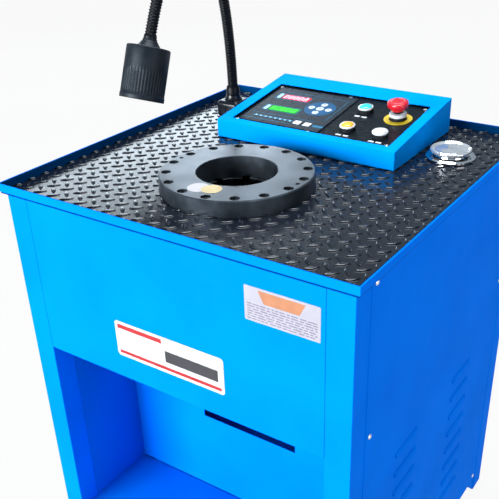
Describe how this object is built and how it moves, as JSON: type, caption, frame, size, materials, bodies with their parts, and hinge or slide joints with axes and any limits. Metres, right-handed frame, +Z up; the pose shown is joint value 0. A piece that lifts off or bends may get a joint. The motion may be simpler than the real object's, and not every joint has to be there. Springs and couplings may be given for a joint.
{
  "type": "hydraulic hose crimping machine",
  "caption": "Vertical hose crimping press: sheet-metal cabinet with a hose bay, bolted ring head with wedge shoes, control console, oil filler and gooseneck lamp.",
  "frame": {"origin": "middle of the tray's footprint, on the floor", "axes": "+X to the operator's right, +Y to the rear, +Z up; the operator stands at -Y"},
  "size_m": [0.7, 0.71, 1.2355],
  "materials": {
    "blue_paint": "glossy powder coat",
    "blue_steel": "powder coat",
    "black_rubber": "glossy ribbed rubber",
    "screw_steel": "zinc plated",
    "black_oxide": "black oxide, satin",
    "machined_steel": "machined, oiled",
    "panel_black": "satin film",
    "display_glass": "tinted",
    "bezel_white": "satin",
    "lens_green": "translucent lens",
    "lens_amber": "translucent lens",
    "lens_white": "translucent lens",
    "dark_plastic": "satin black",
    "stop_red": "gloss",
    "stop_yellow": "satin",
    "key_white": "membrane film",
    "chrome": "polished",
    "lamp_glass": "frosted",
    "motor_grey": "painted",
    "cast_grey": "cast"
  },
  "bodies": {
    "cabinet": {"corner_posts": "blue_paint", "upper_rails": "blue_steel", "base_rails": "blue_steel", "top_tray": "blue_paint", "rubber_mat": "black_rubber", "front_panel": "blue_paint", "toe_panel": "blue_paint", "left_side_panel": "blue_paint", "right_side_panel": "blue_paint", "rear_panel": "blue_paint", "recess_back_panel": "blue_paint", "recess_panels": "blue_paint", "cover_screws": "screw_steel", "head_flange": "black_oxide", "head_cylinder": "machined_steel", "flange_bolts": "black_oxide", "return_springs": "machined_steel", "console_shell": "blue_paint", "panel_plate": "panel_black", "controller_face": "panel_black", "display_windows": "display_glass", "button_bezels": "bezel_white", "contact_blocks": "dark_plastic", "estop_legend": "stop_yellow", "estop_collar": "bezel_white", "filler_neck": "chrome", "lamp_base": "dark_plastic", "oil_tank": "blue_paint", "drive_motor": "motor_grey", "hydraulic_pump": "cast_grey", "valve_block": "cast_grey", "pressure_pipe": "screw_steel", "electrical_box": "cast_grey", "power_inlet": "dark_plastic"},
    "piston": {"ring_piston": "machined_steel", "piston_seals": "black_rubber"},
    "shoe_1": {"die_shoe_1": "machined_steel"},
    "shoe_2": {"die_shoe_2": "machined_steel"},
    "shoe_3": {"die_shoe_3": "machined_steel"},
    "shoe_4": {"die_shoe_4": "machined_steel"},
    "shoe_5": {"die_shoe_5": "machined_steel"},
    "shoe_6": {"die_shoe_6": "machined_steel"},
    "shoe_7": {"die_shoe_7": "machined_steel"},
    "shoe_8": {"die_shoe_8": "machined_steel"},
    "green_button": {"green_button": "lens_green"},
    "amber_button": {"amber_button": "lens_amber"},
    "white_button": {"white_button": "lens_white"},
    "estop_stem": {"estop_stem": "dark_plastic"},
    "estop_head": {"estop_head": "stop_red"},
    "key_up": {"key_up": "key_white"},
    "key_down": {"key_down": "key_white"},
    "key_left": {"key_left": "key_white"},
    "key_right": {"key_right": "key_white"},
    "key_set": {"key_set": "key_white"},
    "cap_gasket": {"cap_gasket": "black_rubber"},
    "filler_cap": {"filler_cap": "chrome"},
    "neck_riser": {"gooseneck_riser": "dark_plastic"},
    "neck_drop": {"gooseneck_drop": "dark_plastic"},
    "lamp": {"lamp_head": "dark_plastic", "lamp_bulb": "lamp_glass"}
  },
  "joints": [
    {"name": "piston_stroke", "type": "slide", "parent": "cabinet", "child": "piston", "axis": [0, 0, 1], "range_m": [0, 0.08], "deforming": ["return_springs"]},
    {"name": "shoe_1_slide", "type": "slide", "parent": "cabinet", "child": "shoe_1", "axis": [-1, 0, 0], "range_m": [0, 0.016]},
    {"name": "shoe_2_slide", "type": "slide", "parent": "cabinet", "child": "shoe_2", "axis": [-0.7071, -0.7071, 0], "range_m": [0, 0.016]},
    {"name": "shoe_3_slide", "type": "slide", "parent": "cabinet", "child": "shoe_3", "axis": [0, -1, 0], "range_m": [0, 0.016]},
    {"name": "shoe_4_slide", "type": "slide", "parent": "cabinet", "child": "shoe_4", "axis": [0.7071, -0.7071, 0], "range_m": [0, 0.016]},
    {"name": "shoe_5_slide", "type": "slide", "parent": "cabinet", "child": "shoe_5", "axis": [1, 0, 0], "range_m": [0, 0.016]},
    {"name": "shoe_6_slide", "type": "slide", "parent": "cabinet", "child": "shoe_6", "axis": [0.7071, 0.7071, 0], "range_m": [0, 0.016]},
    {"name": "shoe_7_slide", "type": "slide", "parent": "cabinet", "child": "shoe_7", "axis": [0, 1, 0], "range_m": [0, 0.016]},
    {"name": "shoe_8_slide", "type": "slide", "parent": "cabinet", "child": "shoe_8", "axis": [-0.7071, 0.7071, 0], "range_m": [0, 0.016]},
    {"name": "green_button_press", "type": "slide", "parent": "cabinet", "child": "green_button", "axis": [0, 0.1288, -0.9917], "range_m": [0, 0.004], "stiffness_N_per_m": 400},
    {"name": "amber_button_press", "type": "slide", "parent": "cabinet", "child": "amber_button", "axis": [0, 0.1288, -0.9917], "range_m": [0, 0.004], "stiffness_N_per_m": 400},
    {"name": "white_button_press", "type": "slide", "parent": "cabinet", "child": "white_button", "axis": [0, 0.1288, -0.9917], "range_m": [0, 0.004], "stiffness_N_per_m": 400},
    {"name": "estop_press", "type": "slide", "parent": "cabinet", "child": "estop_stem", "axis": [0, 0.1288, -0.9917], "range_m": [0, 0.005], "stiffness_N_per_m": 800},
    {"name": "estop_twist", "type": "hinge", "parent": "estop_stem", "child": "estop_head", "pos_m": [0.135, 0.19868, 0.93537], "axis": [0, 0.1288, -0.9917], "range_deg": [0, 40], "stiffness_Nm_per_rad": 0.05},
    {"name": "key_up_press", "type": "slide", "parent": "cabinet", "child": "key_up", "axis": [0, 0.1288, -0.9917], "range_m": [0, 0.0004], "stiffness_N_per_m": 800},
    {"name": "key_down_press", "type": "slide", "parent": "cabinet", "child": "key_down", "axis": [0, 0.1288, -0.9917], "range_m": [0, 0.0004], "stiffness_N_per_m": 800},
    {"name": "key_left_press", "type": "slide", "parent": "cabinet", "child": "key_left", "axis": [0, 0.1288, -0.9917], "range_m": [0, 0.0004], "stiffness_N_per_m": 800},
    {"name": "key_right_press", "type": "slide", "parent": "cabinet", "child": "key_right", "axis": [0, 0.1288, -0.9917], "range_m": [0, 0.0004], "stiffness_N_per_m": 800},
    {"name": "key_set_press", "type": "slide", "parent": "cabinet", "child": "key_set", "axis": [0, 0.1288, -0.9917], "range_m": [0, 0.0004], "stiffness_N_per_m": 800},
    {"name": "cap_lift", "type": "slide", "parent": "cabinet", "child": "cap_gasket", "axis": [0, 0, 1], "range_m": [0, 0.06]},
    {"name": "cap_turn", "type": "hinge", "parent": "cap_gasket", "child": "filler_cap", "pos_m": [0.252, 0.183, 0.875], "axis": [0, 0, 1], "range_deg": [0, 60]},
    {"name": "neck_sway", "type": "hinge", "parent": "cabinet", "child": "neck_riser", "pos_m": [-0.244, 0.194, 0.91], "axis": [0, 0, 1], "range_deg": [-30, 30]},
    {"name": "neck_bend", "type": "hinge", "parent": "neck_riser", "child": "neck_drop", "pos_m": [-0.244, 0.0815, 1.2225], "axis": [1, 0, 0], "range_deg": [-12, 15]},
    {"name": "lamp_tilt", "type": "hinge", "parent": "neck_drop", "child": "lamp", "pos_m": [-0.244, -0.049, 1.0753], "axis": [1, 0, 0], "range_deg": [-15, 15]}
  ],
  "couplings": [
    {"joint": "shoe_1_slide", "follows": "piston_stroke", "ratio": 0.2},
    {"joint": "shoe_2_slide", "follows": "piston_stroke", "ratio": 0.2},
    {"joint": "shoe_3_slide", "follows": "piston_stroke", "ratio": 0.2},
    {"joint": "shoe_4_slide", "follows": "piston_stroke", "ratio": 0.2},
    {"joint": "shoe_5_slide", "follows": "piston_stroke", "ratio": 0.2},
    {"joint": "shoe_6_slide", "follows": "piston_stroke", "ratio": 0.2},
    {"joint": "shoe_7_slide", "follows": "piston_stroke", "ratio": 0.2},
    {"joint": "shoe_8_slide", "follows": "piston_stroke", "ratio": 0.2}
  ]
}
